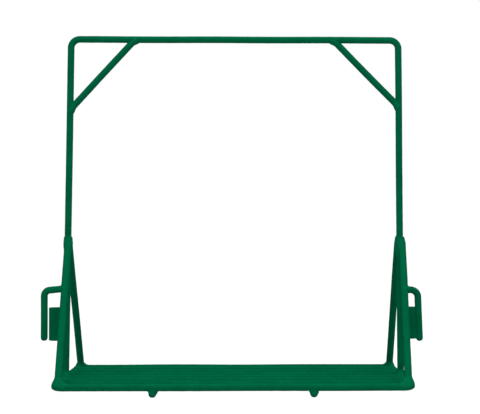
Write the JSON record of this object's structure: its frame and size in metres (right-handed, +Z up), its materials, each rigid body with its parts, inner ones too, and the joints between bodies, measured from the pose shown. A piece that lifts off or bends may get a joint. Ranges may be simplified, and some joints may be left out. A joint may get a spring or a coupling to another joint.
{
  "type": "model cattle guard with entry bow",
  "caption": "Welded-rod scale model of a cattle guard: barred floor on runners, triangular side wings, overhead entry bow, and a drop pin and sleeve each side to join fence panels.",
  "frame": {"origin": "on the ground, under the middle of the barred floor", "axes": "+X across the entrance from the left wing to the right wing, +Y through the entrance from the front rail to the rear rail, +Z up"},
  "size_m": [0.2887, 0.126, 0.2712],
  "materials": {
    "coated_rod": "semi-gloss green powder coat on round steel rod",
    "coated_pipe": "semi-gloss green powder coat on steel pipe",
    "coated_weld": "semi-gloss green powder coat over uneven weld beads"
  },
  "bodies": {
    "root": {"base_frame": "coated_rod", "slat_1": "coated_rod", "slat_2": "coated_rod", "slat_3": "coated_rod", "slat_4": "coated_rod", "slat_5": "coated_rod", "slat_6": "coated_rod", "runner_left": "coated_rod", "runner_right": "coated_rod", "entry_bow": "coated_rod", "corner_brace_left": "coated_rod", "corner_brace_right": "coated_rod", "front_leg_left": "coated_rod", "front_leg_right": "coated_rod", "rear_leg_left": "coated_rod", "rear_leg_right": "coated_rod", "drop_pin_left": "coated_rod", "drop_pin_right": "coated_rod", "sleeve_left": "coated_pipe", "sleeve_right": "coated_pipe", "slat_welds_left": "coated_weld", "slat_welds_right": "coated_weld", "runner_welds_left": "coated_weld", "runner_welds_right": "coated_weld", "foot_welds_left": "coated_weld", "foot_welds_right": "coated_weld", "apex_weld_left": "coated_weld", "apex_weld_right": "coated_weld", "brace_welds_left": "coated_weld", "brace_welds_right": "coated_weld", "pin_weld_left": "coated_weld", "pin_weld_right": "coated_weld", "sleeve_welds_left": "coated_weld", "sleeve_welds_right": "coated_weld"}
  },
  "joints": []
}
